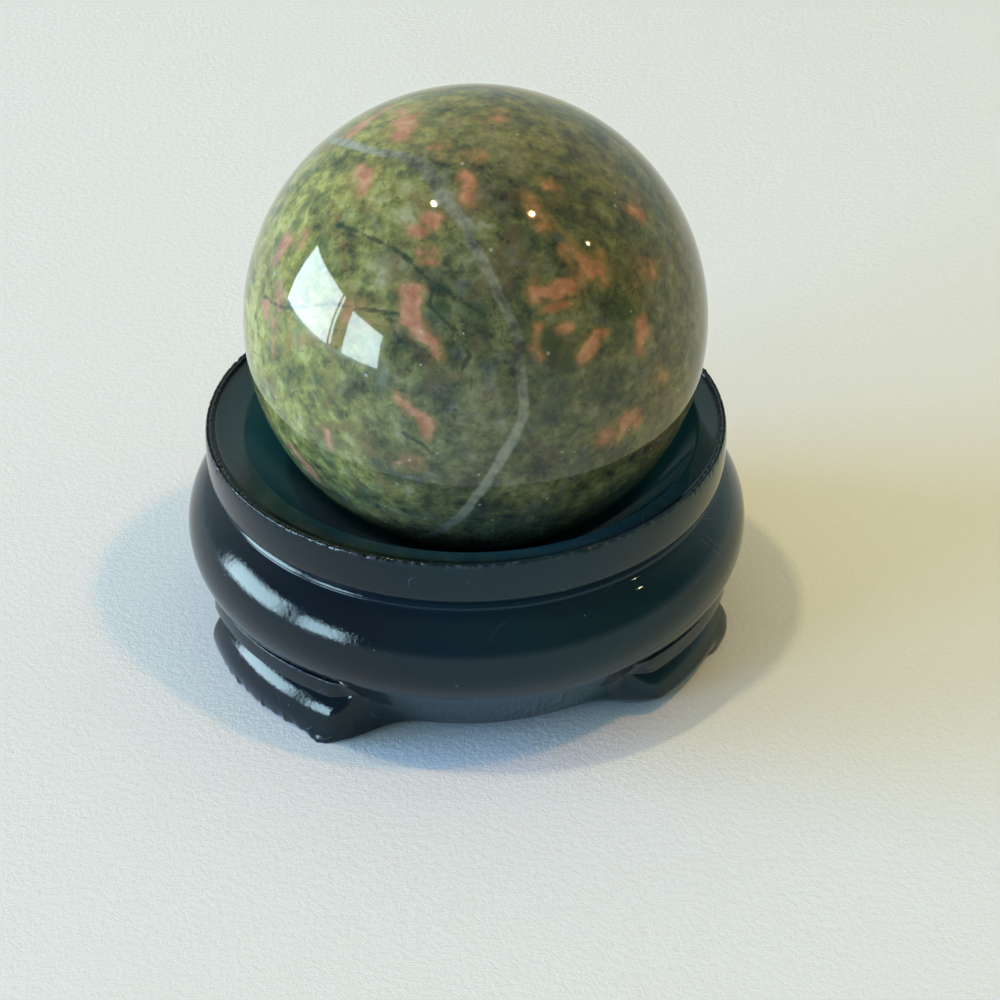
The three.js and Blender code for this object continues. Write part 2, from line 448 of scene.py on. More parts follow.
# %% The whole profile, from under the foot to the middle of the dish
band_low = stand_height - band_height
rim_top = (rim_radius, stand_height)
rim_in = (rim_radius - rim_width, stand_height - rim_fall)
hollow = line((0.0, 2.0), (16.8, 2.0), 3)
hollow += eased((16.9, 2.0), (17.1, 1.7), (pad_inner, 0.1), 0.15)
pad = line((pad_inner, 0.0), (23.4, 0.0), 5)
bead = [(23.75, 0.0), (pad_outer, 0.05)]
bead += arc(bead_centre, bead_round, bead_round, -18, 52, 16)
groove = [(22.55, 4.6), (22.5, 4.75), (22.6, 4.95)]
strip = eased((22.9, 5.0), (strip_radius, strip_low), (strip_radius, strip_high), 0.12)
strip += [(strip_radius, 5.9)]
strip += eased((strip_radius, strip_low), (strip_radius, strip_high), (23.4, 6.8), 0.14)
undercut = [(23.25, 6.86), (23.2, 7.02), (23.3, 7.18), (23.9, 7.3)]
foot = bead + groove + strip + undercut
roll = arc(roll_centre, roll_thickness, roll_thickness, -30.5, 57.5, 32)
neck = [(22.42, 15.22), (22.26, 15.36), (22.42, 15.50)]
neck += arc(fillet_centre, fillet_round, fillet_round, 20, 38, 6)
neck += [(22.15, 16.08), (21.9, 16.22), (21.75, 16.38), (22.1, 16.54)]
band_centre = (rim_radius, band_low + band_height / 2)
band = arc(band_centre, band_bulge, band_height / 2, -88, 86, 11)
rim = eased((rim_radius, 19.8), rim_top, rim_in, 0.42)
rim += line((22.5, 20.29), (20.5, 19.757), 5)
bowl = eased((20.6, 19.78), (20.11, 19.65), (19.6, 19.0), 0.2)
bowl += arc((0.0, dish_centre_height), dish_radius, dish_radius, -38.5, -83, 14)
bowl += line((2.2, bowl[-1][1]), (0.0, bowl[-1][1]), 3)
profile = hollow + pad + foot + roll + neck + band + rim + bowl
print("profile:", len(profile), "points")

# %% [markdown]
# ## Turning it
# A lathe repeats one profile all the way round, which is a rule, so Geometry Nodes do it. A
# Screw modifier could too, but this tree also notes the row of the profile that each point
# comes from, which the carving below needs. The profile is drawn at the front, as a chain of
# points. The tree lays a flat grid with one row for each point of the profile, reads each
# row's point, and swings it round the axis. The steps round and the material are its inputs.

# %% The lathe, as a node tree
lathe = bpy.data.node_groups.new("Lathe", "GeometryNodeTree")
socket = lathe.interface.new_socket
socket("Profile", in_out="INPUT", socket_type="NodeSocketGeometry")
steps_socket = socket("Steps round", in_out="INPUT", socket_type="NodeSocketInt")
finish_socket = socket("Finish", in_out="INPUT", socket_type="NodeSocketMaterial")
socket("Turned", in_out="OUTPUT", socket_type="NodeSocketGeometry")
given = lathe.nodes.new("NodeGroupInput")
result = lathe.nodes.new("NodeGroupOutput")
count = add_node(lathe, "GeometryNodeAttributeDomainSize", {0: given.outputs["Profile"]})
points = count.outputs["Point Count"]
columns = calc(lathe, "ADD", given.outputs["Steps round"], 1.0)
grid = add_node(lathe, "GeometryNodeMeshGrid", {
    "Size X": 1.0, "Size Y": 1.0, "Vertices X": columns, "Vertices Y": points})
spot = add_node(lathe, "GeometryNodeInputPosition")
parts = add_node(lathe, "ShaderNodeSeparateXYZ", {0: spot.outputs[0]})
along = calc(lathe, "ADD", parts.outputs["Y"], 0.5)
row = calc(lathe, "ROUND", calc(lathe, "MULTIPLY", along, calc(lathe, "SUBTRACT", points, 1.0)))
turn = calc(lathe, "MULTIPLY", calc(lathe, "ADD", parts.outputs["X"], 0.5), math.tau)
read = add_node(lathe, "GeometryNodeSampleIndex", {
    "Geometry": given.outputs["Profile"], "Index": row}, data_type="FLOAT_VECTOR")
lathe.links.new(spot.outputs[0], read.inputs["Value"])
swing = add_node(lathe, "ShaderNodeVectorRotate", {
    "Vector": read.outputs["Value"], "Angle": turn}, rotation_type="Z_AXIS")
noted = add_node(lathe, "GeometryNodeStoreNamedAttribute", {
    "Geometry": grid.outputs["Mesh"], "Name": "profile_row", "Value": row}, data_type="FLOAT")
placed = add_node(lathe, "GeometryNodeSetPosition", {
    "Geometry": noted.outputs[0], "Position": swing.outputs[0]})
joined = add_node(lathe, "GeometryNodeMergeByDistance", {
    "Geometry": placed.outputs[0], "Distance": 0.000001})
smooth = add_node(lathe, "GeometryNodeSetShadeSmooth", {"Geometry": joined.outputs[0]})
whole = add_node(lathe, "GeometryNodeRealizeInstances", {"Geometry": smooth.outputs[0]})
coated = add_node(lathe, "GeometryNodeSetMaterial", {
    "Geometry": whole.outputs[0], "Material": given.outputs["Finish"]})
lathe.links.new(coated.outputs[0], result.inputs["Turned"])
print("lathe:", len(lathe.nodes), "nodes")

# %% Turn the profile into a plain mesh
STEPS_ROUND = 700
lacquer, lacquer_tree, lacquer_shader, lacquer_mm = new_material("dark_lacquer")


def turn_piece(name, profile, steps_round, finish):
    chain = bpy.data.meshes.new(name + "_profile")
    chain.from_pydata([(0.0, -r * MM, z * MM) for r, z in profile],
                      [(i, i + 1) for i in range(len(profile) - 1)], [])
    blank = bpy.data.objects.new(name + "_profile", chain)
    bpy.context.collection.objects.link(blank)
    modifier = blank.modifiers.new("Lathe", "NODES")
    modifier.node_group = lathe
    modifier[steps_socket.identifier] = steps_round
    modifier[finish_socket.identifier] = finish
    evaluated = blank.evaluated_get(bpy.context.evaluated_depsgraph_get())
    mesh = bpy.data.meshes.new_from_object(evaluated)
    mesh.name = name
    piece = bpy.data.objects.new(name, mesh)
    bpy.context.collection.objects.link(piece)
    blank.modifiers.remove(modifier)
    bpy.data.objects.remove(blank)
    return piece


stand = turn_piece("lacquered_stand", profile, STEPS_ROUND, lacquer)
print("turned blank:", len(stand.data.vertices), "points")

# %% [markdown]
# ## Carving the feet
# The four gaps between the feet were cut by hand after turning, with a small round tool, so
# they run smoothly out of the roll and the mouldings fade at their ends. A boolean would leave
# hard corners. Instead every point has a second place, on the leaning back wall of a gap, and
# moves towards it by an amount that grows from the end of a foot to the middle of a gap.

# %% Where the gaps are
# Each gap: its middle, turned from the front towards +X; half its angle at the strip; how
# much wider it is at the table than at the strip, at its left and right ends (mm); and how
# gently its ends run out at the table (mm).
gaps = [
    (5.5, 34.5, 0.0, 1.5, 3.4),
    (96.0, 22.5, -1.8, 0.8, 1.3),
    (183.0, 21.0, 0.8, 0.8, 2.0),
    (269.0, 21.5, 0.8, -1.8, 1.3),
]
# The leaning wall of a gap, from under the roll to the table, as (radius, height); how high
# the gap arches over the table; and how gently a gap ends at the strip, all in mm.
wall_high = (24.33, 7.46)
wall_low = (19.85, 1.2)
arch_rise = 1.2
strip_run_out = 0.9


def wave(angle, seed, low, high, terms):
    # A smooth random line round the stand, between about -1 and 1; the seed keeps it the same.
    dice = np.random.default_rng(seed)
    total = np.zeros_like(angle)
    for turns in dice.integers(low, high, terms):
        total += np.sin(angle * turns + dice.uniform(0, math.tau))
    return total / math.sqrt(terms)


def hump(values, middle, half_width):
    return np.exp(-((values - middle) / half_width) ** 2)


def ease(values):
    values = np.clip(values, 0, 1)
    return values * values * (3 - 2 * values)


print("gaps:", len(gaps), "and half-angles", [gap[1] for gap in gaps])


# %% Reading and writing a mesh
def read_points(mesh):
    flat = np.empty(len(mesh.vertices) * 3)
    mesh.vertices.foreach_get("co", flat)
    return flat.reshape(-1, 3) / MM


def write_points(mesh, points):
    mesh.vertices.foreach_set("co", (points * MM).ravel())
    mesh.update()


def read_values(mesh, name):
    values = np.empty(len(mesh.vertices))
    mesh.attributes[name].data.foreach_get("value", values)
    return values


def store_values(mesh, name, values):
    kept = mesh.attributes.new(name, "FLOAT", "POINT")
    kept.data.foreach_set("value", values.astype(np.float32))


# %% Where each point would go in a gap
points = read_points(stand.data)
rows = read_values(stand.data, "profile_row")
reach = np.hypot(points[:, 0], points[:, 1])
turn = np.arctan2(points[:, 0], -points[:, 1])
height = points[:, 2].copy()
pad_start = len(hollow)
foot_start = pad_start + len(pad)
foot_end = foot_start + len(foot)
on_pad = (rows >= pad_start) & (rows < foot_start)
on_foot = (rows >= foot_start) & (rows < foot_end)
drop = (wall_high[1] - height) / wall_high[1]
wall_reach = wall_high[0] + (wall_low[0] - wall_high[0]) * drop
wall_height = wall_high[1] + (wall_low[1] - wall_high[1]) * drop
pad_share = (wall_low[0] - pad_inner) / (pad_outer - pad_inner)
second_reach = np.where(on_pad, pad_inner + (reach - pad_inner) * pad_share, wall_reach)
second_height = np.where(on_pad, arch_rise, wall_height)
print("points that may move:", int((on_pad | on_foot).sum()))

# %% Cut the gaps
# Lowness is nought at the strip and one at the table. A cut begins a little outside its
# gap's edge, and the steepness says how quickly it gets deep.
lowness = np.clip(1 - height / strip_high, 0, 1)
steepness = 0.9
head_start = 0.25
amount = np.zeros_like(reach)
for middle, half_angle, left_spread, right_spread, run_out in gaps:
    off = (turn - math.radians(middle) + math.pi) % math.tau - math.pi
    spread = np.where(off < 0, left_spread, right_spread)
    edge = strip_radius * math.sin(math.radians(half_angle)) + spread * lowness
    side = strip_radius * np.abs(np.sin(np.clip(off, -math.pi / 2, math.pi / 2)))
    softness = strip_run_out + (run_out - strip_run_out) * lowness
    inside = np.clip((edge - side) / softness + head_start, 0, None)
    amount = np.maximum(amount, 1 - np.exp(-steepness * inside ** 2))
amount = np.where(on_pad | on_foot, amount, 0)
reach = reach + (second_reach - reach) * amount
height = height + (second_height - height) * amount
print("carved points:", int((amount > 0.5).sum()))

# %% [markdown]
# ## Wear
# The stand has been knocked about. The rim's sharp edge is chipped into a dotted line, the
# bottom edge of the left foot is torn, with one splinter standing out, and the right foot is
# rubbed away under its bead, with a small swelling at its far end. Chips could be cut by a
# boolean, but such small ones are simply moves of the same points.

# %% A chipped rim
chip_width = 0.24
chip_depth = 0.16
chip_drop = 0.12
degrees = np.degrees(turn)
near_rim_edge = hump(np.hypot(reach - rim_radius, height - stand_height), 0, chip_width)
chips = np.clip(wave(turn, 3, 90, 330, 40) * 0.6 + wave(turn, 4, 5, 40, 12) * 0.3, 0, 1)
reach = reach - near_rim_edge * chips * chip_depth
height = height - near_rim_edge * chips * chip_drop
print("rim points chipped:", int((near_rim_edge * chips > 0.3).sum()))

# %% A torn left foot and a rubbed right one
# Each mark fades with height, and keeps to the outer side of the foot.
foot_inside = 21.0
torn_depth = 0.11
splinter_length = 0.75
rubbed_depth = 1.5
swelling_depth = 0.30
left_foot = np.clip(1 - ((degrees + 47) / 24) ** 6, 0, 1)
near_ground = np.clip(1 - height / 1.1, 0, 1) * (reach > foot_inside)
torn = wave(turn, 7, 25, 110, 30) + 0.5 * wave(turn, 8, 120, 300, 20)
reach = reach + near_ground * left_foot * torn * torn_depth
splinter = np.clip(1 - np.abs(degrees + 32.5) / 4.5, 0, 1) * np.clip(1 - height / 0.9, 0, 1)
reach = reach + splinter * (reach > foot_inside) * splinter_length
under_bead = np.clip(1 - height / 1.8, 0, 1) * np.clip((reach - 18) / 4, 0, 1)
rubbed_part = ease((degrees - 24) / 14) * ease((69 - degrees) / 6)
reach = reach - under_bead * rubbed_part * rubbed_depth
swelling = hump(degrees, 73.0, 4.0) * hump(height, 0.9, 1.2) * (reach > foot_inside)
reach = reach + swelling * swelling_depth
print("splinter stands out to", round(float(reach[splinter > 0.5].max()), 2), "mm")

# %% A hand-turned wobble, and a dish a little off the middle
wobble_depth = 0.03
dish_shift = 0.45
wobble = wave(turn, 11, 2, 9, 8) * wobble_depth
reach = np.where(reach > 15, reach + np.minimum(wobble, 0) * (1 - near_rim_edge), reach)
points[:, 0] = reach * np.sin(turn)
points[:, 1] = -reach * np.cos(turn)
points[:, 2] = np.clip(height, 0, None)
in_dish = np.clip((rim_radius - 0.3 - reach) / 2.3, 0, 1) * (height > 8.5) * (rows > foot_end)
points[:, 0] += dish_shift * in_dish
write_points(stand.data, points)
print("stand reaches", round(float(reach.max()), 2), "mm from its axis")

# %% [markdown]
# ## Faces and marks for the finish
# A mesh that was swung round can come out with its faces looking inwards, which spoils its
# shading. The volume that it encloses tells: where that is less than nothing, the faces are
# turned over. The lacquer has to know where edges are rubbed and which part lies in the dish,
# where its shade is lifted by a painted glow. Painting that by hand would work, but the points
# already know how far they are from each edge, so two numbers are stored on them.

# %% Which way the faces look
def enclosed_volume(mesh, points):
    mesh.calc_loop_triangles()
    corners = np.empty(len(mesh.loop_triangles) * 3, dtype=int)
    mesh.loop_triangles.foreach_get("vertices", corners)
    a, b, c = (points[corners.reshape(-1, 3)[:, k]] for k in range(3))
    return float(np.einsum("ij,ij->i", a, np.cross(b, c)).sum() / 6), len(corners) // 3


volume, triangles = enclosed_volume(stand.data, points)
if volume < 0:
    stand.data.flip_normals()
print("stand:", triangles, "triangles,", round(abs(volume)), "cubic mm")

# %% Rubbed edges, and the dish with its painted glow
strip_edges = np.zeros_like(reach)
for corner_height in (strip_low, strip_high):
    from_corner = np.hypot(reach - strip_radius, height - corner_height)
    strip_edges += hump(from_corner, 0, 0.12)
foot_edge = hump(height, 0, 0.25) * (reach > 18.5) * (rows < foot_end)
store_values(stand.data, "edge", np.clip(near_rim_edge + strip_edges + foot_edge, 0, 1))
# The second number says where the dish's painted glow lies: all of it in the hollow, a quarter on
# the falling rim.
store_values(stand.data, "painted_dish_glow", in_dish * (0.25 + 0.75 * ease((20.4 - reach) / 0.8)))
stand.data.attributes.remove(stand.data.attributes["profile_row"])
print("points on a rubbed edge:", int((near_rim_edge + strip_edges + foot_edge > 0.5).sum()))

# %% [markdown]
# ## Lacquer
# The wood is hidden under a thick, almost black lacquer. It is blue-green, and on the left,
# where the window light falls strongly, it is a darker plum, which is painted shade. Inside the
# dish it is a brighter teal, a painted glow that lifts the shade there. Its reflections are cool
# too. It is glossy but not flat: it dried with a slight orange peel, and the turning tool left
# fine upright ripples that tear the edges of a highlight. Tiny specks of dust sit in it, a few
# scratches cross it, and it is thinner and greyer where edges are rubbed. A clear coat over
# brown wood would be the real build-up, but lacquer this dark shows no wood, so one glossy layer
# is enough.

# %% What varies over the lacquer
tree = lacquer_tree
shader = lacquer_shader
in_mm = lacquer_mm
upright = add_node(tree, "ShaderNodeMapping", {"Vector": in_mm})
upright.inputs["Scale"].default_value = (1.0, 1.0, 0.6)
ripples = tone(tree, upright.outputs[0], 2.6, warp=0.5, contrast=1.7, roughness=0.6)
peel = tone(tree, in_mm, 0.8, contrast=1.2, roughness=0.5)
cloudy = tone(tree, in_mm, 0.12, warp=0.5, contrast=1.8)
dust, scratches = fine_marks(tree, in_mm, speck_scale=1.15, speck_size=0.055, speck_share=0.10,
                             scratch_scale=0.14, scratch_width=0.0012)
marks = calc(tree, "ADD", dust, calc(tree, "MULTIPLY", scratches, 0.28), clamp=True)
rubbed = calc(tree, "MULTIPLY", attribute(tree, "edge"), between(tree, ripples, 0.45, 0.75))
place = add_node(tree, "ShaderNodeSeparateXYZ", {0: in_mm})
# A share that rises towards the left, the window side. There the lacquer is painted a darker plum
# as shade, and its ripples are rougher.
left = between(tree, place.outputs["X"], 8.0, -11.0)
print("lacquer: ripples, peel, dust, scratches and rubbed edges")

# %% Dark lacquer
painted_dish_glow_tint = colour(0.0145, 0.1150, 0.1950)
rubbed_tint = colour(0.10, 0.12, 0.13)
dust_tint = colour(0.28, 0.33, 0.34)
# Blue-green, and on the left a darker plum: painted shade, darker where the window light falls
# strongly.
deep = mix_colours(tree, cloudy, colour(0.0040, 0.0220, 0.0310), colour(0.0085, 0.0180, 0.0240))
painted_shade_plum = mix_colours(tree, cloudy, colour(0.0030, 0.0080, 0.0100), colour(0.0080, 0.0080, 0.0100))
body = mix_colours(tree, left, deep, painted_shade_plum)
# Inside the dish, a brighter teal: a painted glow that lifts the shade there.
body = mix_colours(tree, attribute(tree, "painted_dish_glow"), body, painted_dish_glow_tint)
body = overlay(tree, body, rubbed, 0.5, rubbed_tint)
body = overlay(tree, body, marks, 0.6, dust_tint)
tree.links.new(body, shader.inputs["Base Color"])
gloss = calc(tree, "MULTIPLY_ADD", peel, 0.03, 0.02)
gloss = calc(tree, "MULTIPLY_ADD", marks, 0.35, gloss)
tree.links.new(calc(tree, "MULTIPLY_ADD", rubbed, 0.18, gloss), shader.inputs["Roughness"])
shader.inputs["IOR"].default_value = 1.42
shader.inputs["Specular Tint"].default_value = colour(0.74, 0.93, 1.0)
rough_side = calc(tree, "MULTIPLY_ADD", left, 0.28, 0.02)
surface = calc(tree, "MULTIPLY_ADD", ripples, rough_side, calc(tree, "MULTIPLY", peel, 0.14))
surface = calc(tree, "MULTIPLY_ADD", marks, 0.5, surface)
surface = calc(tree, "MULTIPLY_ADD", scratches, -0.4, surface)
bump(tree, shader, surface, 0.06 * MM, 0.6)
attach(stand, "root")
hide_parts("wooden_stand")
print("stand finished:", lacquer.name)

# %% [markdown]
# ## The ball
# The ball must show no flat spots, so it is made from a cube whose faces are cut into small
# squares and blown out to a sphere: that spreads the points evenly, with no crowded poles.
# The points then carry numbers that say how far each one lies from the vein, from the dark
# hairlines and from the patches of pink feldspar, so that the pattern belongs to the stone.

# %% An even sphere
def even_sphere(cells):
    steps = np.tan(np.linspace(-1, 1, cells + 1) * math.pi / 4)
    u, v = np.meshgrid(steps, steps, indexing="ij")
    one = np.ones_like(u)
    sides = [(one, u, v), (-one, v, u), (v, one, u), (u, -one, v), (u, v, one), (v, u, -one)]
    spots = np.concatenate([np.stack(side, -1).reshape(-1, 3) for side in sides])
    spots /= np.linalg.norm(spots, axis=1)[:, None]
    keys = np.round(spots * 1e5).astype(np.int64)
    _, first, back = np.unique(keys, axis=0, return_index=True, return_inverse=True)
    index = np.arange((cells + 1) ** 2).reshape(cells + 1, cells + 1)
    quads = np.stack([index[:-1, :-1], index[1:, :-1], index[1:, 1:], index[:-1, 1:]], -1)
    quads = quads.reshape(-1, 4)
    faces = np.concatenate([quads + side * (cells + 1) ** 2 for side in range(6)])
    return spots[first], back.reshape(-1)[faces]


CELLS_ON_A_SIDE = 128
directions, faces = even_sphere(CELLS_ON_A_SIDE)
print("ball:", len(directions), "points,", 2 * len(faces), "triangles")

# %% [markdown]
# ## The pattern in the stone
# Places on the ball are given as on a globe: degrees round from the front towards +X, and
# degrees up from the middle. A vein is a broken line with a width and a tone at each point; a
# patch is a short stroke with a half width. Noise alone would give such shapes, but never in
# these places. The distance to a stroke is simple to work out for every point at once, and
# fine noise in the finish breaks the edges up later.

# %% Distance to a stroke
def on_globe(longitude, latitude):
    lon = math.radians(longitude)
    lat = math.radians(latitude)
    return np.array([math.sin(lon) * math.cos(lat), -math.cos(lon) * math.cos(lat), math.sin(lat)])


def stroke_distance(start, end):
    # Distance in millimetres from every point to a stroke, and how far along it the nearest
    # place is, from 0 to 1.
    a = on_globe(*start) * stone_radius
    b = on_globe(*end) * stone_radius
    spots = directions * stone_radius
    along = b - a
    length = float(along @ along)
    share = np.clip((spots - a) @ along / max(length, 1e-9), 0, 1)
    return np.linalg.norm(spots - a - share[:, None] * along, axis=1), share


def patches(strokes):
    # Above nought inside a patch, below it outside. Strength deepens a patch.
    field = np.full(len(directions), -1.0)
    for lon_a, lat_a, lon_b, lat_b, half_width, strength in strokes:
        distance = stroke_distance((lon_a, lat_a), (lon_b, lat_b))[0]
        field = np.maximum(field, strength * (1.15 - distance / half_width))
    return field


print("front of the ball at", on_globe(0, 0).round(2), "and top at", on_globe(0, 90).round(2))

# %% The quartz vein: (round, up, half width in mm, tone from 0 dark to 1 white)
vein_path = [
    (-128, 35, 0.60, 0.6), (-115, 45, 0.62, 0.6), (-105, 52, 0.62, 0.6), (-98, 54, 0.6, 0.6),
    (-90, 57.5, 0.6, 0.7), (-80, 60.3, 0.62, 1.0), (-70, 62.5, 0.55, 0.7), (-60, 64.3, 0.6, 0.4),
    (-47, 66.5, 0.62, 0.35), (-38, 66.6, 0.7, 0.15), (-31, 65.8, 0.8, 0.15),
    (-20.5, 62.3, 0.85, 0.25), (-14, 58, 0.8, 0.4), (-8, 54.8, 0.75, 0.55), (-3, 51.5, 0.68, 0.6),
    (-2, 48, 0.66, 0.5), (1.8, 43, 0.62, 0.5), (4.5, 39.3, 0.6, 0.55), (6, 35.5, 0.6, 0.5),
    (7.5, 32, 0.62, 0.5), (9, 29.5, 0.6, 0.45), (9.8, 26.5, 0.6, 0.3), (10.2, 23.5, 0.62, 0.05),
    (10.3, 20.5, 0.62, 0.0), (10.2, 18, 0.6, 0.3), (10.5, 14, 0.58, 0.55),
    (10.6, 10.2, 0.55, 0.6), (10.1, 6.3, 0.6, 0.65), (8.8, 3, 0.66, 0.9), (7.2, -0.3, 0.68, 1.0),
    (5.3, -4, 0.66, 0.9), (3.4, -8, 0.62, 0.85), (1.2, -12.3, 0.6, 0.6), (-0.6, -15.5, 0.6, 0.6),
    (-2.5, -20, 0.6, 0.6), (-6, -26, 0.6, 0.6), (-14, -36, 0.6, 0.5), (-30, -45, 0.6, 0.7),
    (-60, -45, 0.6, 0.5), (-80, -41, 0.6, 0.3), (-95, -35, 0.6, 0.6), (-112, -24, 0.6, 0.8),
    (-125, -10, 0.6, 0.5), (-133, 3, 0.6, 0.4), (-135, 15, 0.6, 0.6), (-133, 26, 0.6, 0.7),
    (-128, 35, 0.60, 0.6),
]
FAR = 9.0
vein_width = 0.92
vein = np.full(len(directions), FAR)
vein_tone = np.zeros(len(directions))
for start, end in zip(vein_path[:-1], vein_path[1:]):
    distance, share = stroke_distance(start[:2], end[:2])
    half_width = vein_width * (start[2] + (end[2] - start[2]) * share)
    closer = distance / half_width < vein
    vein = np.where(closer, distance / half_width, vein)
    vein_tone = np.where(closer, start[3] + (end[3] - start[3]) * share, vein_tone)
print("vein covers", round(100 * float((vein < 1).mean()), 1), "% of the ball")

# %% Pink feldspar: (round, up) to (round, up), half width in mm, strength
pink_strokes = [
    (-93, 58.5, -112, 66, 0.8, 1.0), (-66, 71.5, -80, 73.5, 1.25, 1.1),
    (-57, 71, -62, 71, 0.7, 0.8), (-100, 72, -92, 73, 0.7, 0.8), (-60, 57.5, -54, 57, 0.95, 1.0),
    (-52, 55.5, -49, 54, 0.5, 0.8), (-4.5, 64, -4.5, 59, 0.75, 1.0),
    (-18, 52.8, -15.5, 52, 0.8, 0.75), (-22.5, 49, -20, 49, 0.8, 0.7),
    (-16, 45, -15, 44, 0.7, 0.45), (-60.5, 39.5, -60.5, 34.5, 0.5, 0.8),
    (-68, 33.5, -68, 29.5, 0.9, 0.75), (-61, 23.5, -59, 20.5, 0.8, 0.8),
    (-65, 18.5, -63, 16, 0.85, 0.8), (-59, 15.5, -59, 15, 0.6, 0.7),
    (-57.5, 14, -57.5, 9, 0.45, 0.8), (-18.5, 34, -17.5, 29.5, 1.0, 1.3),
    (-16.5, 29, -15.5, 27.5, 0.75, 1.2), (-14, 27, -9.5, 22.5, 0.6, 0.95),
    (-38, 26, -36, 26, 0.95, 0.5), (-29.5, 28.5, -27.5, 27.5, 0.8, 0.5),
    (-18.5, 10.5, -12, 5.5, 0.62, 0.95), (-11.5, 4, -11.5, 2, 0.55, 0.75),
    (-37.8, -4, -37.8, -7.5, 0.5, 0.85), (-54, -17, -47.5, -23.5, 0.7, 1.1),
    (-18, -6, -16, -6, 0.6, 0.45), (16, 34.5, 27, 34.5, 0.75, 0.75),
    (23.5, 36, 25.5, 36, 0.5, 1.0), (18, 31, 26, 31, 0.45, 0.75),
    (33.5, 37.5, 35.5, 37.5, 1.2, 0.75), (36.5, 36, 38, 34, 0.55, 0.7),
    (52.5, 31, 55.5, 30, 0.75, 0.6), (31, 23, 33, 23, 0.45, 0.9),
    (29.3, 21.2, 25.4, 18.3, 0.62, 1.2), (20.5, 26, 24.5, 26, 0.45, 0.9),
    (16, 27.5, 13.7, 23.5, 0.42, 0.8), (13.5, 23, 15.8, 20, 0.42, 0.8),
    (45.3, 20.5, 43, 15.5, 0.72, 1.15), (37, -1.5, 40, -2.2, 0.95, 1.0),
    (31, -3, 34, -4, 0.9, 0.7), (48, 6, 48.5, 5, 0.6, 0.45), (45, 82.5, 60, 83, 0.65, 0.5),
    (33, 58.5, 35, 58, 0.6, 0.45), (24, 56.5, 24, 49.5, 0.6, 0.45), (30, 43, 31, 42, 0.7, 0.5),
    (62, 44, 64, 43, 0.7, 0.6), (-2.5, 70.5, 0, 70, 0.6, 0.4), (-32, 72, -28, 72, 0.7, 0.5),
]
print("pink strokes placed by hand:", len(pink_strokes))

# %% Pink feldspar round the back
hidden_count = 58
hidden_dice = np.random.default_rng(21)
hidden_strokes = []
while len(hidden_strokes) < hidden_count:
    lat = math.degrees(math.asin(hidden_dice.uniform(-1, 1)))
    lon = hidden_dice.uniform(-180, 180)
    seen_side = on_globe(lon, lat) @ on_globe(0, 36) > -0.02
    if not seen_side:
        turn_lon = hidden_dice.normal(0, 4.5) / max(math.cos(math.radians(lat)), 0.3)
        hidden_strokes.append((lon, lat, lon + turn_lon, lat + hidden_dice.normal(0, 3.5),
                               hidden_dice.uniform(0.5, 1.1), hidden_dice.uniform(0.6, 1.2)))
pink = patches(pink_strokes + hidden_strokes)
print("pink covers", round(100 * float((pink > 0.1).mean()), 1), "% of the ball")

# %% Dark hairlines: broken lines of (round, up)
hairlines = [
    [(-50.5, 44.5), (-44, 45.2), (-37, 45), (-27, 44), (-21.5, 42.5), (-14, 38.5), (-8.5, 36.5)],
    [(-67, 19), (-58, 20.5), (-53, 22.5), (-46, 25.5), (-40, 28), (-32, 29), (-20.5, 29.7)],
    [(-12, 37.5), (-13, 33), (-9, 30), (-5, 27), (-2, 22), (-4, 18)],
    [(-8.5, 36.5), (-3, 33.5), (2, 31)],
    [(180, 74.6), (152, 77.2), (120, 76)],
    [(-17.5, 2), (-12.5, -0.5), (-10, -3.5)],
    [(110, 20), (124, 32), (140, 36), (160, 30)],
    [(170, -10), (185, 5), (200, 12), (214, 30)],
    [(-120, -30), (-140, -38), (-165, -30)],
]
hairline = np.full(len(directions), FAR)
for path in hairlines:
    for start, end in zip(path[:-1], path[1:]):
        hairline = np.minimum(hairline, stroke_distance(start, end)[0])
print("hairlines:", len(hairlines))

# %% Dark green blobs: strokes like the pink ones
dark_strokes = [
    (18.5, 25, 18.5, 19, 1.0, 1.0), (21, 18, 23, 17.5, 1.0, 0.9),
    (-50.5, 44.5, -49, 45, 0.4, 1.2), (-22.5, 42.8, -20.5, 42, 0.4, 1.2),
    (-9, 36.8, -8, 36.2, 0.45, 1.1), (-50, -12, -38, -14, 0.6, 0.6), (38, 27, 40, 24, 1.1, 0.6),
    (-3, 33, 1, 30, 0.9, 0.6), (-11, 33, -9, 31, 0.8, 0.7), (152, 77.2, 120, 76, 0.35, 0.9),
    (150, 30, 160, 26, 1.2, 0.8), (-160, 10, -150, 4, 1.1, 0.8), (120, -20, 130, -26, 1.0, 0.8),
]
dark = patches(dark_strokes)
print("dark blobs:", len(dark_strokes))

# %% The darker half: darker stone, and painted shade
# The stone is darker past the vein. Round the right, away from the windows, and underneath,
# where it sits in the dish, the darkening is painted shade.
shade = 0.92 * ease(0.5 + 0.95 * (directions @ on_globe(60, 5)))
shade = shade * (1 - 0.15 * ease((directions[:, 2] - 0.62) / 0.28))
shade = np.maximum(shade, 0.8 * hump(stroke_distance((-6, 40), (0, 28))[0], 0, 3.5))
shade = np.maximum(shade, 0.95 * hump(stroke_distance((10, 62), (38, 34))[0], 0, 9.0))
shade = np.maximum(shade, 0.9 * np.clip(-directions[:, 2] * 1.6 - 0.25, 0, 1))
print("mean shade:", round(float(shade.mean()), 2))

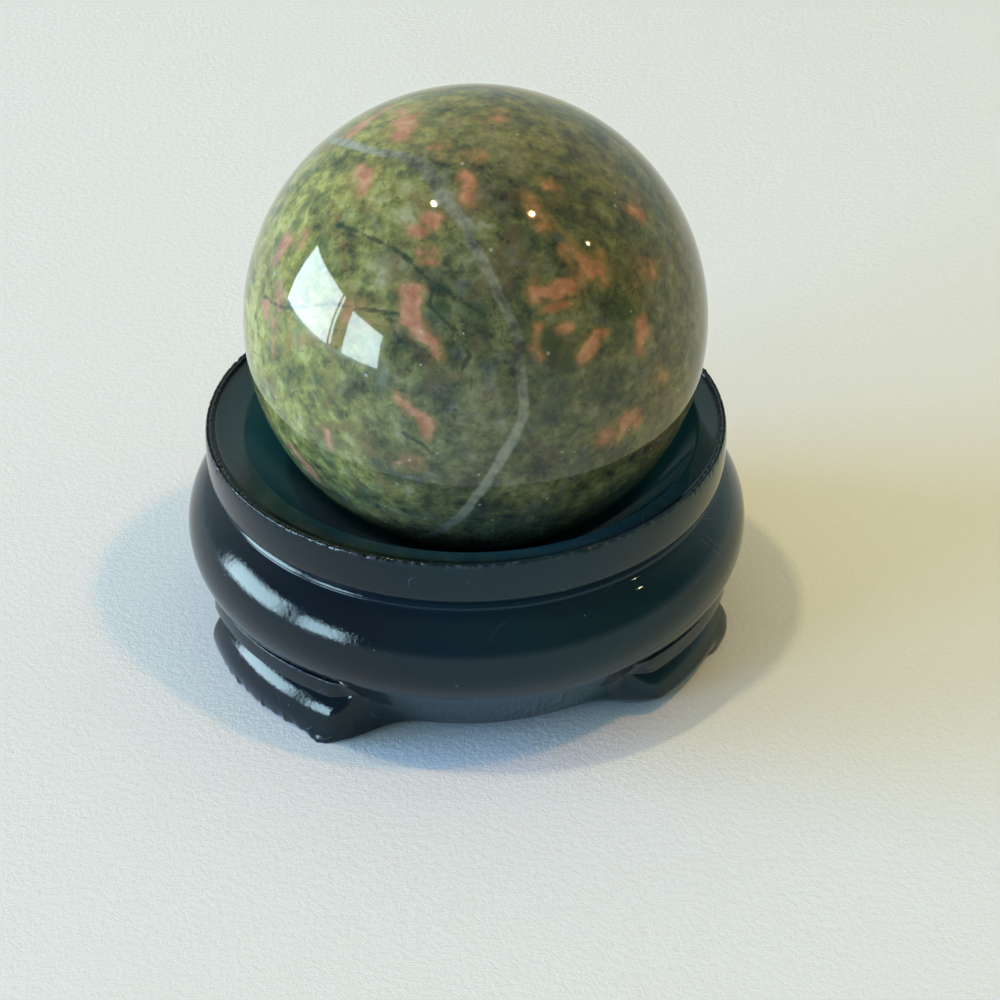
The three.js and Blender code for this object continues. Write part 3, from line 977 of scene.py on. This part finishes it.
# %% Put the ball together
# The polish is a touch lower along the vein, where the quartz and the green stone wear apart.
vein_depth = 0.012
lowered = vein_depth * np.clip(1.3 - vein, 0, 1)
spots = directions * (stone_radius - lowered)[:, None] + np.array(stone_centre)
ball_mesh = bpy.data.meshes.new("polished_ball")
ball_mesh.from_pydata((spots * MM).tolist(), [], faces.tolist())
ball_mesh.shade_smooth()
for name, values in (("vein", vein), ("vein_tone", vein_tone), ("pink", pink),
                     ("hairline", hairline), ("dark", dark), ("shade", shade)):
    store_values(ball_mesh, name, values)
ball = bpy.data.objects.new("polished_ball", ball_mesh)
bpy.context.collection.objects.link(ball)
ball_volume = enclosed_volume(ball_mesh, spots - np.array(stone_centre))[0]
if ball_volume < 0:
    ball_mesh.flip_normals()
print("ball volume", round(abs(ball_volume)), "cubic mm")

# %% [markdown]
# ## Polished stone
# The stone is an intergrowth of green epidote, pink feldspar and grey quartz. Seen close, the
# green is a mosaic of small grains in moss, olive, bottle green and grey, clouded at several
# sizes. A marble texture looks too regular for it. Here layers are laid over each other in the
# order in which they formed: the green ground, brown and milky stains, pink patches with rusty
# borders, dark hairlines, and the vein that cuts through all of them.

# %% Clouds at several sizes
DRIFT = 0.6
stone, tree, shader, in_mm = new_material("green_and_pink_stone", middle=stone_centre)
drift = add_node(tree, "ShaderNodeTexNoise", {"Vector": in_mm, "Scale": 0.55, "Detail": 3.0})
push = add_node(tree, "ShaderNodeVectorMath", {0: drift.outputs["Color"], 1: (0.5, 0.5, 0.5)},
                operation="SUBTRACT")
push = add_node(tree, "ShaderNodeVectorMath", {0: push.outputs[0], "Scale": DRIFT},
                operation="SCALE")
bent = add_node(tree, "ShaderNodeVectorMath", {0: in_mm, 1: push.outputs[0]}, operation="ADD")
bent = bent.outputs[0]
broad = tone(tree, in_mm, 0.11, warp=0.4, contrast=2.2, roughness=0.5)
clouds = tone(tree, bent, 0.34, contrast=2.4, roughness=0.5)
blotches = tone(tree, bent, 0.85, contrast=2.2, roughness=0.5)
mottle = tone(tree, bent, 2.1, contrast=1.9, roughness=0.5)
grains = add_node(tree, "ShaderNodeTexVoronoi", {"Vector": bent, "Scale": 3.4},
                  feature="SMOOTH_F1")
grain = add_node(tree, "ShaderNodeSeparateColor", {0: grains.outputs["Color"]})
grain = grain.outputs[0]
level = calc(tree, "MULTIPLY", broad, 0.16)
finer_layers = ((clouds, 0.30), (blotches, 0.31), (mottle, 0.12), (grain, 0.11))
for layer, weight in finer_layers:
    level = calc(tree, "MULTIPLY_ADD", layer, weight, level)
print("cloud sizes mixed:", 1 + len(finer_layers))

# %% Green ground
ground = add_node(tree, "ShaderNodeValToRGB", {0: level})
stops = [
    (0.24, (0.045, 0.052, 0.020)),
    (0.38, (0.110, 0.115, 0.034)),
    (0.50, (0.195, 0.190, 0.046)),
    (0.62, (0.305, 0.285, 0.070)),
    (0.78, (0.420, 0.385, 0.150)),
]
ramp = ground.color_ramp
while len(ramp.elements) < len(stops):
    ramp.elements.new(0.5)
for element, (place, tint) in zip(ramp.elements, stops):
    element.position = place
    element.color = colour(*tint)
print("greens in the ground:", len(stops))

# %% Bottle green, brown and milky stains
bottle = tone(tree, bent, 0.3, warp=0.8, contrast=2.4)
bottle_tint = colour(0.085, 0.108, 0.045)
pattern = overlay(tree, ground.outputs[0], between(tree, bottle, 0.55, 0.85), 0.5, bottle_tint)
brown = tone(tree, in_mm, 0.24, warp=0.6, contrast=2.4)
brown_tint = colour(0.230, 0.140, 0.045)
pattern = overlay(tree, pattern, between(tree, brown, 0.55, 0.92), 0.6, brown_tint)
milk = tone(tree, bent, 0.50, warp=0.5, contrast=2.4, roughness=0.5)
milk_tint = colour(0.330, 0.345, 0.180)
pattern = overlay(tree, pattern, between(tree, milk, 0.60, 0.95), 0.25, milk_tint)
print("ground with its stains:", len(tree.nodes), "nodes")

# %% A thin dark network, crumbs, and the darker half with its painted shade
wander = tone(tree, bent, 0.40, warp=0.6, contrast=2.0, roughness=0.45)
wander = calc(tree, "ABSOLUTE", calc(tree, "SUBTRACT", wander, 0.5))
network = between(tree, wander, 0.030, 0.004)
network = calc(tree, "MULTIPLY", network, between(tree, milk, 0.50, 0.30))
pattern = overlay(tree, pattern, network, 0.55, colour(0.040, 0.055, 0.028))
crumbs = fine_marks(tree, bent, speck_scale=1.6, speck_size=0.30, speck_share=0.14,
                    scratch_scale=0.1, scratch_width=0.0)[0]
crumbs = calc(tree, "MULTIPLY", crumbs, between(tree, blotches, 0.80, 0.30))
pattern = overlay(tree, pattern, crumbs, 0.6, colour(0.055, 0.065, 0.030))
# The lit side is painted a little brighter and warmer. The darker half is painted darker with a
# cool cast, partly the stone's own tone and partly painted shade.
painted_lit_side = colour(1.10, 1.03, 0.92)
darker_stone_and_painted_shade = colour(0.47, 0.52, 0.93)
stone_and_painted_shade_tint = mix_colours(tree, attribute(tree, "shade"), painted_lit_side, darker_stone_and_painted_shade)
pattern = mix_colours(tree, 1.0, pattern, stone_and_painted_shade_tint, "MULTIPLY")
print("with the network, crumbs and halves:", len(tree.nodes), "nodes")

# %% Pink patches and their rusty borders
ragged = calc(tree, "SUBTRACT", tone(tree, bent, 0.8, contrast=1.8, roughness=0.55), 0.5)
pink_edge = calc(tree, "MULTIPLY_ADD", ragged, 1.7, attribute(tree, "pink"))
rust_mask = between(tree, pink_edge, -0.55, 0.35)
pattern = overlay(tree, pattern, rust_mask, 0.40, colour(0.330, 0.190, 0.060))
pink_mask = between(tree, pink_edge, 0.08, 0.90)
pink_tint = mix_colours(tree, blotches, colour(0.330, 0.095, 0.045), colour(0.600, 0.300, 0.160))
pattern = overlay(tree, pattern, pink_mask, 0.80, pink_tint)
print("with pink and rust:", len(tree.nodes), "nodes")

# %% Dark green blobs, hairlines and the vein
dark_edge = calc(tree, "MULTIPLY_ADD", ragged, 1.2, attribute(tree, "dark"))
dark_mask = between(tree, dark_edge, -0.1, 0.9)
pattern = overlay(tree, pattern, dark_mask, 0.70, colour(0.034, 0.060, 0.026))
thread = calc(tree, "MULTIPLY_ADD", ragged, 0.36, attribute(tree, "hairline"))
thread_mask = between(tree, thread, 0.24, 0.04)
pattern = overlay(tree, pattern, thread_mask, 0.75, colour(0.025, 0.040, 0.022))
vein_edge = calc(tree, "MULTIPLY_ADD", ragged, 0.55, attribute(tree, "vein"))
vein_mask = between(tree, vein_edge, 1.05, 0.42)
milky = calc(tree, "MULTIPLY_ADD", mottle, 0.4, -0.58)
milky = calc(tree, "MULTIPLY_ADD", blotches, 0.80, milky)
vein_level = calc(tree, "ADD", attribute(tree, "vein_tone"), milky, clamp=True)
vein_tint = mix_colours(tree, vein_level, colour(0.070, 0.060, 0.045), colour(0.300, 0.295, 0.190))
pattern = overlay(tree, pattern, vein_mask, 0.80, vein_tint)
print("with blobs, hairlines and the vein:", len(tree.nodes), "nodes")

# %% Pale specks, and the colour is done
specks, scratches = fine_marks(tree, in_mm, speck_scale=0.9, speck_size=0.14, speck_share=0.10,
                               scratch_scale=0.12, scratch_width=0.0008)
pattern = overlay(tree, pattern, specks, 0.45, colour(0.420, 0.450, 0.350))
tree.links.new(pattern, shader.inputs["Base Color"])
print("stone colour finished:", len(tree.nodes), "nodes")

# %% [markdown]
# ## The polish
# Polished stone is as glossy as glass, but a loose ball gets a little worn, so its gloss
# varies and a few scratches catch the light. Roughness alone would look like fog, so the
# surface also gets a very slight waviness.

# %% The polish
wear = tone(tree, in_mm, 0.35, contrast=1.4)
polish = calc(tree, "MULTIPLY_ADD", wear, 0.03, 0.035)
tree.links.new(calc(tree, "MULTIPLY_ADD", scratches, 0.15, polish), shader.inputs["Roughness"])
shader.inputs["IOR"].default_value = 1.46
waviness = calc(tree, "MULTIPLY_ADD", scratches, -0.5, tone(tree, in_mm, 0.5, roughness=0.4))
bump(tree, shader, waviness, 0.02 * MM, 0.25)
ball_mesh.materials.append(stone)
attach(ball, "root")
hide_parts("stone_sphere")
print("ball finished:", stone.name)
